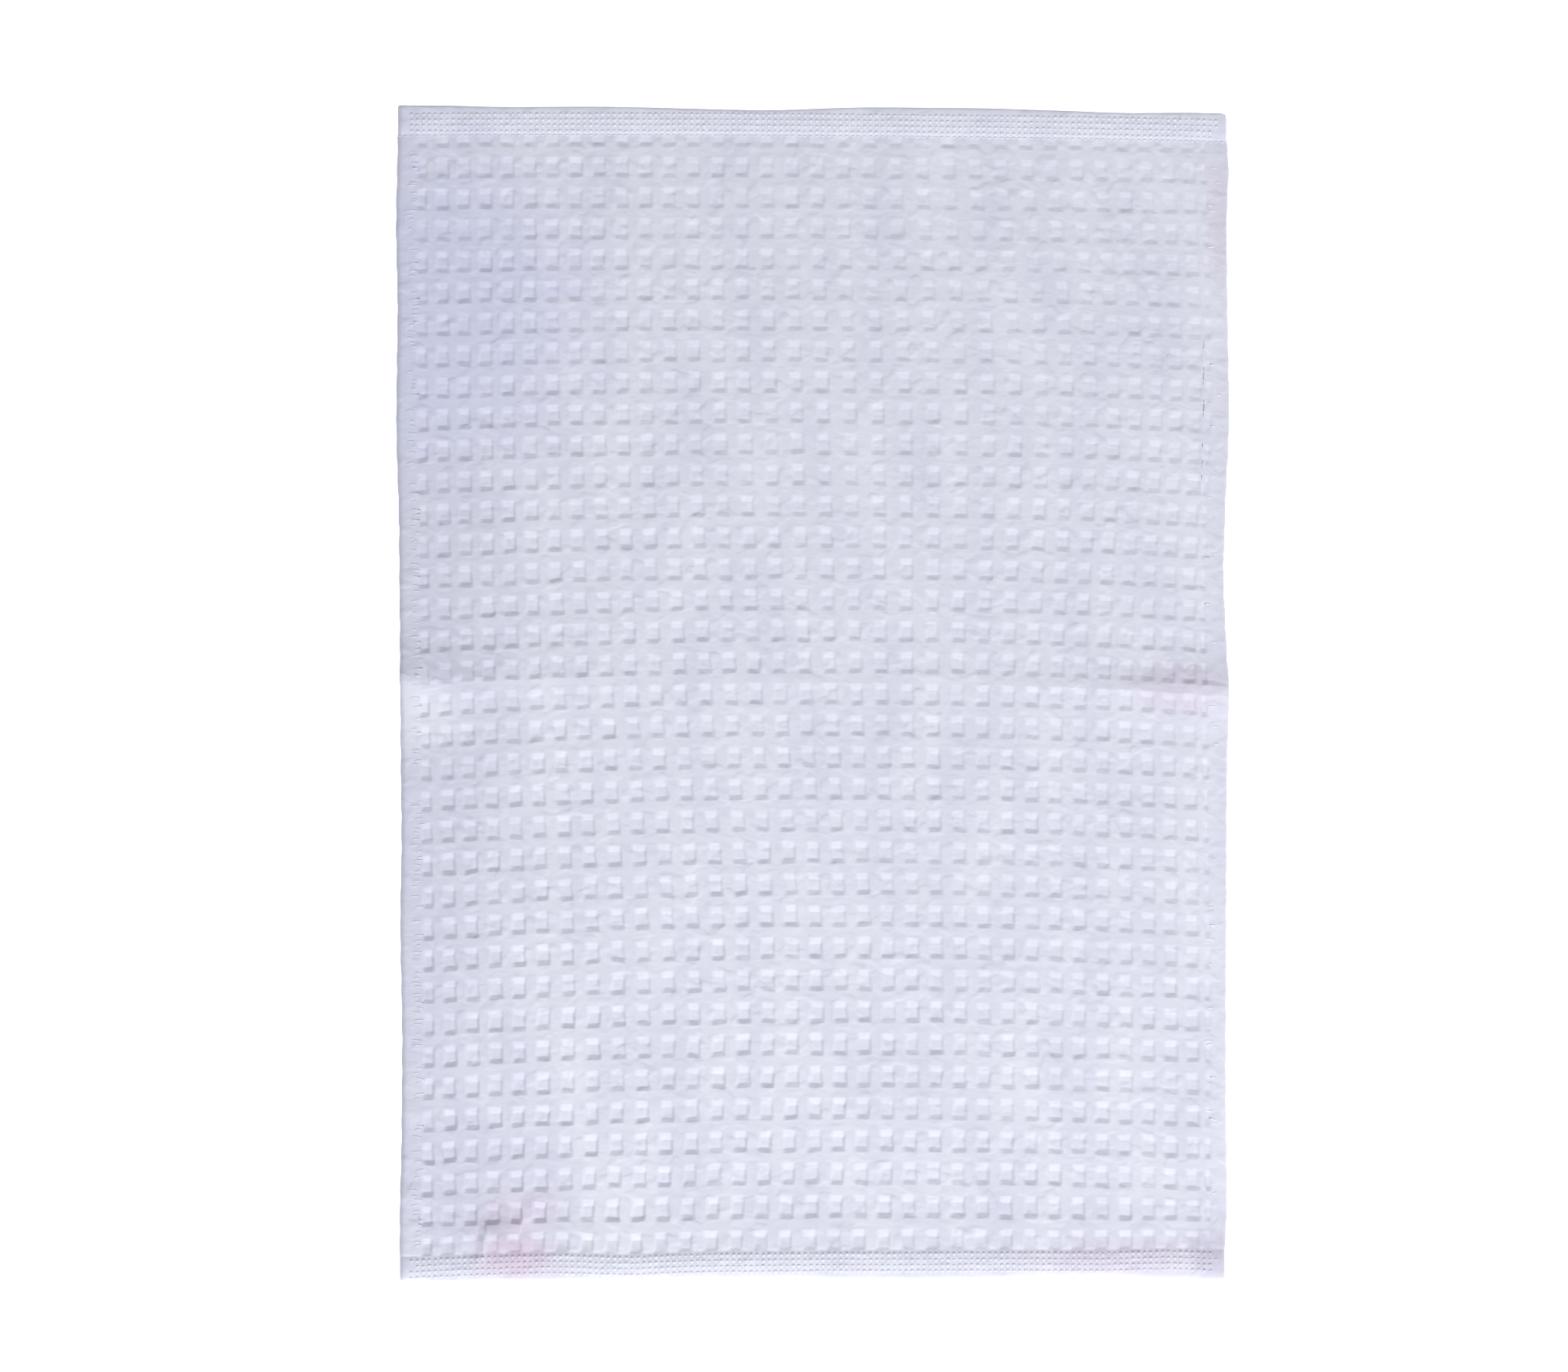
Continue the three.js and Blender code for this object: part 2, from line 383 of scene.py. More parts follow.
from_crease = np.abs(y - (CREASE_AT_MIDDLE + CREASE_SLANT * x))
stiffness = np.abs(x / HALF_WIDTH) ** CREASE_FADE_POWER
crest = CREASE_LIFT_MIDDLE + (CREASE_LIFT_EDGE - CREASE_LIFT_MIDDLE) * stiffness
lift = crest * (1 - np.clip(from_crease / CREASE_REACH, 0, 1)) ** 2
pucker = sum(pucker_height(x / MM, y / MM, *mark) for mark in PUCKERS)
print("crease lifts the cloth by up to", round(lift.max() / MM, 1), "mm")

# %% [markdown]
# ## One closed cloth
#
# Cloth has two faces, so the net is used twice: once for the face, and once, with fewer lines, for the
# underside. A Solidify modifier would copy every line and double the weight of the mesh. A band of faces
# round the edge joins the two. Both start flat at the same place and the nodes move them apart.

# %% Join face, underside and edge
upper = np.arange(x.size).reshape(x.shape)
kept_rows = np.flatnonzero(row_kept[:, 0])
kept_columns = np.flatnonzero(column_kept)
shared = upper[np.ix_(kept_rows, kept_columns)]
lower = x.size + np.arange(shared.size).reshape(shared.shape)


def net_faces(net):
    """The four-sided faces between the points of a net."""
    quads = np.stack([net[:-1, :-1], net[:-1, 1:], net[1:, 1:], net[1:, :-1]], -1)
    return quads.reshape(-1, 4).tolist()


def edge_faces(top_line, bottom_line, kept):
    """Faces between an edge of the face and the same edge of the underside, which has fewer points."""
    made = []
    for k in range(len(kept) - 1):
        over = top_line[kept[k] : kept[k + 1] + 1]
        made.append([bottom_line[k], bottom_line[k + 1], *over[::-1]])
    return made


faces = net_faces(upper) + [face[::-1] for face in net_faces(lower)]
faces += edge_faces(upper[0].tolist(), lower[0].tolist(), kept_columns)
faces += [face[::-1] for face in edge_faces(upper[-1].tolist(), lower[-1].tolist(), kept_columns)]
faces += [face[::-1] for face in edge_faces(upper[:, 0].tolist(), lower[:, 0].tolist(), kept_rows)]
faces += edge_faces(upper[:, -1].tolist(), lower[:, -1].tolist(), kept_rows)
points_flat = [np.append(values.ravel(), values.ravel()[shared.ravel()]) for values in (x, y)]
points = np.column_stack([*points_flat, np.zeros(x.size + shared.size)])
sheet = bpy.data.meshes.new("dish-towel")
sheet.from_pydata(points.tolist(), [], faces)
sheet.shade_smooth()
cloth = bpy.data.objects.new("dish-towel", sheet)
bpy.context.scene.collection.objects.link(cloth)
print("sheet:", len(points), "points,", len(faces), "faces")

# %% Write what the nodes need on every point
# More than there are columns, so that no two pits share a number
CELLS_PER_ROW = 64

cell = np.round(np.clip(column_number, 0, COLUMNS - 1)) + CELLS_PER_ROW * np.round(row_number)
underside = np.append(np.zeros(x.size), np.ones(shared.size))
written = {"row": row_number, "from_side": from_side, "cell": cell, "pits": pits}
written |= {"level": level, "lift": lift, "pucker": pucker, "painted_edge_shade": painted_edge_shade}
for name, values in written.items():
    everywhere = np.broadcast_to(values, x.shape).ravel()
    written[name] = np.append(everywhere, everywhere[shared.ravel()])
written["underside"] = underside
for name, values in written.items():
    sheet.attributes.new(name, "FLOAT", "POINT").data.foreach_set("value", values.astype(np.float32))
print("written on the sheet:", ", ".join(written))

# %% [markdown]
# ### A map of the cloth
#
# A thread pattern has to follow the cloth and not the room, so the cloth gets a UV map. Unwrapping would
# cut and turn it, and the flat net is a true map already. One unit of the map is 1.1 m of cloth, so that
# face and underside lie side by side on it.

# %% Lay the face and the underside side by side on the map
MAP_UNIT = 1.1
UNDERSIDE_MOVED = 0.52
flat = points[:, :2] - points[:, :2].min(0)
flat[:, 0] += underside * UNDERSIDE_MOVED
corner_points = np.zeros(len(sheet.loops), np.int32)
sheet.loops.foreach_get("vertex_index", corner_points)
weave_map = sheet.uv_layers.new(name="weave", do_init=False)
weave_map.uv.foreach_set("vector", (flat[corner_points] / MAP_UNIT).astype(np.float32).ravel())
print("map covers", np.round(flat.max(0), 3), "m")

# %% [markdown]
# ## Finishes
#
# The cloth is bleached cotton, loom-woven and washed. Cotton is matt: light scatters from a haze of fine
# fibre ends, which is what the sheen stands for. It is a cool white with a breath of lilac, and a few
# faint mauve and pinkish stains have stayed in it. One small function adds every node.

# %% Colours, and the one helper for nodes
def linear(hex_colour):
    """An sRGB hex colour as the linear values that shaders use."""
    parts = [int(hex_colour[k : k + 2], 16) / 255 for k in (1, 3, 5)]
    return tuple(c / 12.92 if c <= 0.04045 else ((c + 0.055) / 1.055) ** 2.4 for c in parts) + (1.0,)


def add(tree, kind, feeds=None, **settings):
    """Adds a node, applies its settings, and feeds its inputs with values, sockets or other nodes."""
    node = tree.nodes.new(kind)
    for name, value in settings.items():
        setattr(node, name, value)
    for key, source in (feeds or {}).items():
        named = [socket for socket in node.inputs if socket.enabled and socket.name == key]
        socket = node.inputs[key] if isinstance(key, int) else named[0]
        if isinstance(source, bpy.types.Node):
            source = next(s for s in source.outputs if s.enabled)
        if isinstance(source, bpy.types.NodeSocket):
            tree.links.new(source, socket)
        else:
            socket.default_value = source
    return node


def new_material(name):
    """A material without any nodes yet."""
    material = bpy.data.materials.new(name)
    material.use_nodes = True
    material.node_tree.nodes.clear()
    return material


print("white in linear values:", linear("#FFFFFF"))

# %% [markdown]
# ### Stains, and painted shade and light
#
# Stains could be painted on an image, but then they would blur close up. Here each one is a ragged oval
# on Object coordinates, laid over whatever colour is below it, so cloth and yarn take them alike. The same
# ovals paint shade over the upper left, where the lamp's light falls off, and paint light on the lit side
# of the crease at the left. Two more darken the left side and the lower left.

# %% Stains, painted shade and painted light, laid over a colour
COTTON = "#E2E4F1"
COTTON_SHADE = "#D8DAEA"
PINKISH = "#DACFE2"
GREYER_WHITE = "#CFD1E3"
# SHADED is painted shade, for the upper left, which lies farthest from the lamp
SHADED = "#D1D3EB"
MAUVE = "#C4C0D3"
# Centre across and along, half width and half length in millimetres, colour, and how much shows
STAINS_AND_PAINTED_SHADING = [
    # Darker towards the left side
    ((-250, 20), (100, 520), GREYER_WHITE, 0.75),
    # Painted light on the lit side of the crease at the left, brought back up to the plain white
    ((-240, -14), (48, 28), COTTON, 0.85),
    # Painted shade over the upper left, where the lamp's light falls off
    ((-235, 235), (130, 125), SHADED, 0.95),
    # Darker at the lower left
    ((-205, -290), (75, 60), GREYER_WHITE, 0.6),
    ((-191, -319), (24, 15), MAUVE, 0.95),
    ((-179, -341), (32, 20), PINKISH, 1.0),
    ((-173, -314), (30, 20), PINKISH, 0.5),
    ((214, 10), (44, 12), MAUVE, 0.4),
    ((222, 1), (36, 20), PINKISH, 0.5),
    ((246, 290), (9, 60), PINKISH, 0.4),
    ((185, -341), (75, 16), PINKISH, 0.55),
    ((243, -338), (22, 24), MAUVE, 0.6),
]
RAG_SIZE = 12 * MM
RAGGEDNESS = 0.7
# A stain is full inside the first share of its half width, and has gone at the second
FADES_BETWEEN = (0.6, 1.4)


def with_stains_and_painted_shading(tree, place, colour):
    """Lays every stain and every patch of painted shade and light, ragged at its rim, over a colour."""
    rags = add(tree, "ShaderNodeTexNoise", {"Vector": place, "Scale": 1 / RAG_SIZE, "Detail": 2})
    full, gone = FADES_BETWEEN
    for centre, size, tint, strength in STAINS_AND_PAINTED_SHADING:
        middle = (centre[0] * MM, centre[1] * MM, 0)
        spread = (1 / (size[0] * MM), 1 / (size[1] * MM), 0)
        offset = add(tree, "ShaderNodeVectorMath", {0: place, 1: middle}, operation="SUBTRACT")
        scaled = add(tree, "ShaderNodeVectorMath", {0: offset, 1: spread}, operation="MULTIPLY")
        away = add(tree, "ShaderNodeVectorMath", {0: scaled}, operation="LENGTH").outputs["Value"]
        ragged = add(tree, "ShaderNodeMath", {0: rags, 1: RAGGEDNESS, 2: away}, operation="MULTIPLY_ADD")
        amount = add(
            tree, "ShaderNodeMapRange",
            {"Value": ragged, "From Min": full, "From Max": gone, "To Min": strength, "To Max": 0.0},
            interpolation_type="SMOOTHSTEP",
        )
        blend = {"Factor": amount, "A": colour, "B": linear(tint)}
        colour = add(tree, "ShaderNodeMix", blend, data_type="RGBA")
    return colour


print("stains:", len(STAINS_AND_PAINTED_SHADING))

# %% [markdown]
# ### Bleached cotton
#
# The threads are about 0.6 mm apart, too fine to show at this distance, so they are drawn at twice that.
# They are bump only, because real thread relief would take millions of faces. So are the fibre streaks,
# the fine crumple that washing leaves between the pits, the pilling, and the nubs where a float has
# worked loose. The threads follow the cloth's map, and the rest reads Object coordinates.

# %% Bleached woven cotton: its colour, with painted shade and light
MOTTLE_SIZE = (30 * MM, 90 * MM)
# The colour of the painted shade along the left edge, and how much of it shows
EDGE_SHADE_COLOUR = "#A0A2B2"
EDGE_SHADE_SHOWS = 0.45

cotton = new_material("bleached woven cotton")
tree = cotton.node_tree
place = add(tree, "ShaderNodeTexCoord").outputs["Object"]
# Broad, faint unevenness in the white
mottle_scale = (1 / MOTTLE_SIZE[0], 1 / MOTTLE_SIZE[1], 1)
drawn_out = add(tree, "ShaderNodeMapping", {"Vector": place, "Scale": mottle_scale})
mottle = add(tree, "ShaderNodeTexNoise", {"Vector": drawn_out, "Scale": 1.0, "Detail": 3})
mottled = add(tree, "ShaderNodeMapRange", {"Value": mottle, "From Min": 0.3, "From Max": 0.7})
whites = {"Factor": mottled, "A": linear(COTTON), "B": linear(COTTON_SHADE)}
colour = add(tree, "ShaderNodeMix", whites, data_type="RGBA")
colour = with_stains_and_painted_shading(tree, place, colour)
# Painted shade on the outermost threads of the left selvedge, where the edge turns down away from the lamp
edge_shade_here = add(tree, "ShaderNodeAttribute", attribute_name="painted_edge_shade").outputs["Fac"]
edge_shading = add(tree, "ShaderNodeMath", {0: edge_shade_here, 1: EDGE_SHADE_SHOWS}, operation="MULTIPLY")
colour = add(tree, "ShaderNodeMix", {"Factor": edge_shading, "A": colour, "B": linear(EDGE_SHADE_COLOUR)}, data_type="RGBA")
print("colour of the cotton:", len(tree.nodes), "nodes")

# %% Bleached woven cotton: its threads and fibres
THREAD_SPACING = 1.2 * MM
THREAD_RELIEF = 0.03 * MM
# Each layer of fibre: a mark's size across, along and up, its turn, its distortion, and its relief
FIBRES = {
    "streaks": ((1.2 * MM, 6 * MM, 2 * MM), 0.0, 0.0, 0.12 * MM),
    "crumple": ((8.5 * MM, 6 * MM, 7 * MM), 0.6, 0.3, 0.6 * MM),
    "pilling": ((3.5 * MM, 3.5 * MM, 3.5 * MM), 0.0, 0.0, 0.12 * MM),
}
NUB_SIZE = 7.5 * MM
NUB_RELIEF = 0.28 * MM

# Threads: two sine waves over the map, one for each direction of the weave
on_cloth = add(tree, "ShaderNodeUVMap", uv_map="weave")
turns = 2 * math.pi * MAP_UNIT / THREAD_SPACING
scaled = add(tree, "ShaderNodeVectorMath", {0: on_cloth, "Scale": turns}, operation="SCALE")
parts = add(tree, "ShaderNodeSeparateXYZ", {0: scaled})
warp = add(tree, "ShaderNodeMath", {0: parts.outputs["X"]}, operation="SINE")
weft = add(tree, "ShaderNodeMath", {0: parts.outputs["Y"]}, operation="SINE")
threads = add(tree, "ShaderNodeMath", {0: warp, 1: weft}, operation="MULTIPLY")
bump = add(tree, "ShaderNodeBump", {"Height": threads, "Distance": THREAD_RELIEF, "Strength": 1.0})
for size, turn, distortion, rise in FIBRES.values():
    scale = tuple(1 / part for part in size)
    mapped = add(tree, "ShaderNodeMapping", {"Vector": place, "Rotation": (0, 0, turn), "Scale": scale})
    noise = {"Vector": mapped, "Scale": 1.0, "Detail": 2, "Distortion": distortion}
    marks = add(tree, "ShaderNodeTexNoise", noise)
    bump = add(tree, "ShaderNodeBump", {"Height": marks, "Distance": rise, "Strength": 1.0, "Normal": bump})
loosened = add(tree, "ShaderNodeTexNoise", {"Vector": place, "Scale": 1 / NUB_SIZE, "Detail": 0})
standing = {"Value": loosened, "From Min": 0.5, "From Max": 0.8}
nubs = add(tree, "ShaderNodeMapRange", standing, interpolation_type="SMOOTHSTEP")
bump = add(tree, "ShaderNodeBump", {"Height": nubs, "Distance": NUB_RELIEF, "Strength": 1.0, "Normal": bump})
shader = add(
    tree, "ShaderNodeBsdfPrincipled",
    {
        "Base Color": colour, "Roughness": 0.92, "IOR": 1.5, "Specular IOR Level": 0.2, "Normal": bump,
        "Sheen Weight": 0.08, "Sheen Roughness": 0.5, "Sheen Tint": linear("#FFFFFF"),
    },
)
add(tree, "ShaderNodeOutputMaterial", {"Surface": shader})
print("whole cotton:", len(tree.nodes), "nodes")

# %% [markdown]
# ### Cotton yarn
#
# The short floats of yarn on the hems and the stitches are the same cotton, but their twist is closed, so
# they look a little brighter and smoother than the brushed face of the cloth. One material could serve
# both, but then the floats would hardly show on the hem.

# %% Twisted cotton yarn
YARN = "#EDEFF8"
YARN_MOTTLE = 4 * MM

yarn = new_material("twisted cotton yarn")
tree = yarn.node_tree
place = add(tree, "ShaderNodeTexCoord").outputs["Object"]
uneven = add(tree, "ShaderNodeTexNoise", {"Vector": place, "Scale": 1 / YARN_MOTTLE, "Detail": 2})
whites = {"Factor": uneven, "A": linear(YARN), "B": linear(COTTON_SHADE)}
colour = add(tree, "ShaderNodeMix", whites, data_type="RGBA")
colour = with_stains_and_painted_shading(tree, place, colour)
shader = add(
    tree, "ShaderNodeBsdfPrincipled",
    {
        "Base Color": colour, "Roughness": 0.85, "IOR": 1.5, "Specular IOR Level": 0.25,
        "Sheen Weight": 0.08,
    },
)
add(tree, "ShaderNodeOutputMaterial", {"Surface": shader})
print("yarn:", len(tree.nodes), "nodes")

# %% [markdown]
# ## The relief
#
# In a waffle weave the long floats of yarn stand up as ridges and the plain weave sinks into pits. A
# height map would need a far finer mesh to draw such walls. The shape follows a rule, so a Geometry Nodes
# tree makes it on the net's own lines. Each pit is a product of two slopes: one from its sides, one from
# its ends. Each gets its own depth from a seeded random value, and a slow noise moves the pits about by
# less than a millimetre. The same tree shapes the underside, which has hollows of its own between the
# pits, as the back of this weave has.

# %% A tree with named inputs, and what the sheet tells it
RELIEF_SIZES = {
    "Pit depth": 0.92 * MM,
    "Pit unevenness": 0.17,
    "Channel": 0.08,
    "Wall run": WALL_RUN,
    "Lower rim": LOWER_RIM,
    "Lower foot": LOWER_FOOT,
    "Upper foot": UPPER_FOOT,
    "Upper rim": UPPER_RIM,
    "Swell": 0.1 * MM,
    "Undulation": 1.0 * MM,
    "Wander": 2.2 * MM,
    "Back hollow": 0.9 * MM,
    "Seed": 7,
}


def new_tree(name, sizes):
    """An empty Geometry Nodes tree with named inputs for its sizes and for its material."""
    tree = bpy.data.node_groups.new(name, "GeometryNodeTree")
    kinds = {float: "NodeSocketFloat", int: "NodeSocketInt"}
    tree.interface.new_socket("Geometry", in_out="INPUT", socket_type="NodeSocketGeometry")
    for label, value in sizes.items():
        tree.interface.new_socket(label, in_out="INPUT", socket_type=kinds[type(value)])
    tree.interface.new_socket("Material", in_out="INPUT", socket_type="NodeSocketMaterial")
    tree.interface.new_socket("Geometry", in_out="OUTPUT", socket_type="NodeSocketGeometry")
    return tree


relief = new_tree("waffle relief", RELIEF_SIZES)
given = add(relief, "NodeGroupInput").outputs
told = {}
for name in ("row", "from_side", "cell", "pits", "level", "lift", "pucker", "underside"):
    told[name] = add(relief, "GeometryNodeInputNamedAttribute", {"Name": name}, data_type="FLOAT")
print("waffle relief has", len(RELIEF_SIZES), "sizes and reads", len(told), "attributes")

# %% How far down in its pit a point is, from 0 to 1
FALLING = {"To Min": 1.0, "To Max": 0.0}

nearest_row = add(relief, "ShaderNodeMath", {0: told["row"]}, operation="ROUND")
from_middle = add(relief, "ShaderNodeMath", {0: told["row"], 1: nearest_row}, operation="SUBTRACT")
walls = []
for end in ("Lower", "Upper"):
    run = {"Value": from_middle, "From Min": given[end + " foot"], "From Max": given[end + " rim"]}
    walls.append(add(relief, "ShaderNodeMapRange", {**run, **FALLING}))
by_ends = add(relief, "ShaderNodeMath", dict(enumerate(walls)), operation="MULTIPLY")
outside = add(relief, "ShaderNodeMath", {0: given["Wall run"], 1: 0.5}, operation="MULTIPLY")
inside = add(relief, "ShaderNodeMath", {0: outside, 1: -1.0}, operation="MULTIPLY")
run = {"Value": told["from_side"], "From Min": inside, "From Max": outside}
by_sides = add(relief, "ShaderNodeMapRange", {**run, **FALLING})
# A shallow channel links the pits of a row through the ridges between them
channel = given["Channel"]
unchannelled = add(relief, "ShaderNodeMath", {0: 1.0, 1: channel}, operation="SUBTRACT")
deepened = {0: by_sides, 1: unchannelled, 2: channel}
channelled = add(relief, "ShaderNodeMath", deepened, operation="MULTIPLY_ADD")
pit = add(relief, "ShaderNodeMath", {0: by_ends, 1: channelled}, operation="MULTIPLY")
# Every pit has its own depth
chosen = {"Min": -1.0, "Max": 1.0, "ID": told["cell"], "Seed": given["Seed"]}
spread = add(relief, "FunctionNodeRandomValue", chosen, data_type="FLOAT")
varied = {0: spread, 1: given["Pit unevenness"], 2: 1.0}
uneven = add(relief, "ShaderNodeMath", varied, operation="MULTIPLY_ADD")
own_depth = add(relief, "ShaderNodeMath", {0: given["Pit depth"], 1: uneven}, operation="MULTIPLY")
sunk = add(relief, "ShaderNodeMath", {0: own_depth, 1: pit}, operation="MULTIPLY")
print("waffle relief, with its pits:", len(relief.nodes), "nodes")

# %% The height of the face and of the underside
ROLL_SIZE = 120 * MM

# The face swells once a row and rolls gently
turned = add(relief, "ShaderNodeMath", {0: told["row"], 1: 2 * math.pi}, operation="MULTIPLY")
wave = add(relief, "ShaderNodeMath", {0: turned}, operation="COSINE")
swell = add(relief, "ShaderNodeMath", {0: wave, 1: given["Swell"]}, operation="MULTIPLY")
spot = add(relief, "GeometryNodeInputPosition")
slow = add(relief, "ShaderNodeTexNoise", {"Vector": spot, "Scale": 1 / ROLL_SIZE, "Detail": 1.0})
centred = add(relief, "ShaderNodeMath", {0: slow, 1: 0.5}, operation="SUBTRACT")
rolling = add(relief, "ShaderNodeMath", {0: centred, 1: given["Undulation"]}, operation="MULTIPLY")
raised = add(relief, "ShaderNodeMath", {0: swell, 1: rolling}, operation="ADD")
shape = add(relief, "ShaderNodeMath", {0: raised, 1: sunk}, operation="SUBTRACT")
on_level = {0: told["pits"], 1: shape, 2: told["level"]}
face_height = add(relief, "ShaderNodeMath", on_level, operation="MULTIPLY_ADD")
face_height = add(relief, "ShaderNodeMath", {0: face_height, 1: told["pucker"]}, operation="ADD")
# The back has its own hollows, where four ridges meet, and rests on the table everywhere else
off_sides = add(relief, "ShaderNodeMath", {0: 1.0, 1: by_sides}, operation="SUBTRACT")
off_ends = add(relief, "ShaderNodeMath", {0: 1.0, 1: by_ends}, operation="SUBTRACT")
between = add(relief, "ShaderNodeMath", {0: off_sides, 1: off_ends}, operation="MULTIPLY")
hollow = add(relief, "ShaderNodeMath", {0: given["Back hollow"], 1: between}, operation="MULTIPLY")
under_height = add(relief, "ShaderNodeMath", {0: hollow, 1: told["pits"]}, operation="MULTIPLY")
either = {"Factor": told["underside"], "A": face_height, "B": under_height}
height = add(relief, "ShaderNodeMix", either, data_type="FLOAT")
height = add(relief, "ShaderNodeMath", {0: height, 1: told["lift"]}, operation="ADD")
print("waffle relief, with its heights:", len(relief.nodes), "nodes")

# %% Move every point, and finish the tree
DRIFT_SIZE = 14 * MM

noise = add(relief, "ShaderNodeTexNoise", {"Vector": spot, "Scale": 1 / DRIFT_SIZE, "Detail": 1.0})
off_grey = {0: noise.outputs["Color"], 1: (0.5, 0.5, 0.5)}
drift = add(relief, "ShaderNodeVectorMath", off_grey, operation="SUBTRACT")
drift_by = add(relief, "ShaderNodeMath", {0: given["Wander"], 1: told["pits"]}, operation="MULTIPLY")
drift = add(relief, "ShaderNodeVectorMath", {0: drift, "Scale": drift_by}, operation="SCALE")
drift = add(relief, "ShaderNodeSeparateXYZ", {0: drift}).outputs
move = add(relief, "ShaderNodeCombineXYZ", {"X": drift["X"], "Y": drift["Y"], "Z": height})
shaped = add(relief, "GeometryNodeSetPosition", {"Geometry": given["Geometry"], "Offset": move})
realized = add(relief, "GeometryNodeRealizeInstances", {"Geometry": shaped})
finished = add(relief, "GeometryNodeSetMaterial", {"Geometry": realized, "Material": given["Material"]})
add(relief, "NodeGroupOutput", {"Geometry": finished})
print("whole waffle relief:", len(relief.nodes), "nodes")

# %% Run the tree and keep its result as a plain mesh
def run_tree(piece, tree, sizes, material):
    """Puts a tree on a piece, sets its inputs by identifier, and turns the result into the piece's mesh."""
    modifier = piece.modifiers.new(tree.name, "NODES")
    modifier.node_group = tree
    values = {**sizes, "Material": material}
    for socket in tree.interface.items_tree:
        if socket.in_out == "INPUT" and socket.name in values:
            modifier[socket.identifier] = values[socket.name]
    evaluated = piece.evaluated_get(bpy.context.evaluated_depsgraph_get())
    made = bpy.data.meshes.new_from_object(evaluated)
    piece.modifiers.remove(modifier)
    flat_mesh = piece.data
    piece.data = made
    bpy.data.meshes.remove(flat_mesh)
    made.name = piece.name
    made.materials.clear()  # a primitive brings an empty slot of its own
    made.materials.append(material)
    made.polygons.foreach_set("material_index", np.zeros(len(made.polygons), np.int32))
    triangles = sum(len(face.vertices) - 2 for face in made.polygons)
    print(piece.name + ":", len(made.vertices), "points,", triangles, "triangles of", material.name)


run_tree(cloth, relief, RELIEF_SIZES, cotton)

# %% [markdown]
# ### Tight bends
#
# The rims of the pits look crisp, though cloth is soft. Smooth shading alone would spread each bend over
# half a pit, and a bevel would multiply the faces. Weighted normals let the large faces keep their own
# direction, so only the narrow guard faces bend.

# %% Weigh the normals by face size
weighing = cloth.modifiers.new("crisp-rims", "WEIGHTED_NORMAL")
weighing.mode = "FACE_AREA"
weighing.weight = 50
crisp = bpy.data.meshes.new_from_object(cloth.evaluated_get(bpy.context.evaluated_depsgraph_get()))
cloth.modifiers.remove(weighing)
cloth.data = crisp
crisp.name = cloth.name
print("custom normals:", crisp.has_custom_normals)

# %% [markdown]
# ## Floats and stitches
#
# The turned hems show plain weave with four rows of small yarn floats, and a running stitch holds each
# hem down in its groove. At the selvedges, short ends of weft lie across the border of the field. There
# are some fifteen hundred of them, too many to place by hand, so Geometry Nodes puts one small bead of
# yarn, of 36 triangles, on each point and stretches it. The points are found by looking straight down
# onto the finished cloth.

# %% A tree that lays a bead of yarn on every point
BEAD_SIZES = {"Bead segments": 6, "Bead rings": 4}

beads = new_tree("yarn beads", BEAD_SIZES)
given = add(beads, "NodeGroupInput").outputs
ball = {"Segments": given["Bead segments"], "Rings": given["Bead rings"], "Radius": 0.5}
bead = add(beads, "GeometryNodeMeshUVSphere", ball)
turn = add(beads, "GeometryNodeInputNamedAttribute", {"Name": "turn"}, data_type="FLOAT_VECTOR")
stretch = add(beads, "GeometryNodeInputNamedAttribute", {"Name": "stretch"}, data_type="FLOAT_VECTOR")
rotation = add(beads, "FunctionNodeEulerToRotation", {0: turn})
laid = {"Points": given["Geometry"], "Instance": bead, "Scale": stretch, "Rotation": rotation}
laid = add(beads, "GeometryNodeInstanceOnPoints", laid)
realized = add(beads, "GeometryNodeRealizeInstances", {"Geometry": laid})
finished = add(beads, "GeometryNodeSetMaterial", {"Geometry": realized, "Material": given["Material"]})
smoothed = add(beads, "GeometryNodeSetShadeSmooth", {"Geometry": finished})
add(beads, "NodeGroupOutput", {"Geometry": smoothed})
print("yarn beads:", len(beads.nodes), "nodes")

# %% Lay beads on the cloth
ABOVE_CLOTH = 50 * MM
surface = BVHTree.FromObject(cloth, bpy.context.evaluated_depsgraph_get())
chance = np.random.default_rng(11)


def lay_beads(name, wanted):
    """Beads of yarn on the cloth, from a list of (x, y, direction, size, share of it sunk in)."""
    places, turns, sizes = [], [], []
    for px, py, direction, size, sunk in wanted:
        hit, normal = surface.ray_cast(Vector((px, py, ABOVE_CLOTH)), Vector((0, 0, -1)))[:2]
        if hit is None:
            continue
        run = Vector((math.cos(direction), math.sin(direction), 0))
        run = (run - run.dot(normal) * normal).normalized()
        axes = Matrix((run, normal.cross(run), normal)).transposed()
        places.append(hit + normal * size[2] * (0.5 - sunk))
        turns.append(tuple(axes.to_euler()))
        sizes.append(size)
    mesh = bpy.data.meshes.new(name)
    mesh.from_pydata(places, [], [])
    for label, values in (("turn", turns), ("stretch", sizes)):
        attribute = mesh.attributes.new(label, "FLOAT_VECTOR", "POINT")
        attribute.data.foreach_set("vector", np.array(values, np.float32).ravel())
    piece = bpy.data.objects.new(name, mesh)
    bpy.context.scene.collection.objects.link(piece)
    run_tree(piece, beads, BEAD_SIZES, yarn)
    return piece


# %% Floats in rows along both hems, and the running stitch in each seam
SEWN_HALF = 249.5 * MM
FLOAT_ROWS = 4
FIRST_FLOAT_ROW = 2.3 * MM
FLOAT_ROW_PITCH = 3.4 * MM
FLOAT_PITCH = 3.6 * MM
FLOAT_SIZE = (2.3 * MM, 2.1 * MM, 0.75 * MM)
FLOAT_SHRINKS = (0.85, 1.12)
FLOAT_SUNK = 0.45
# How far floats and stitches stray, across and along, and how far a float turns
FLOAT_STRAYS = (0.12 * MM, 0.08 * MM)
FLOAT_TURNS = 0.1
STITCH_STRAYS = 0.15 * MM
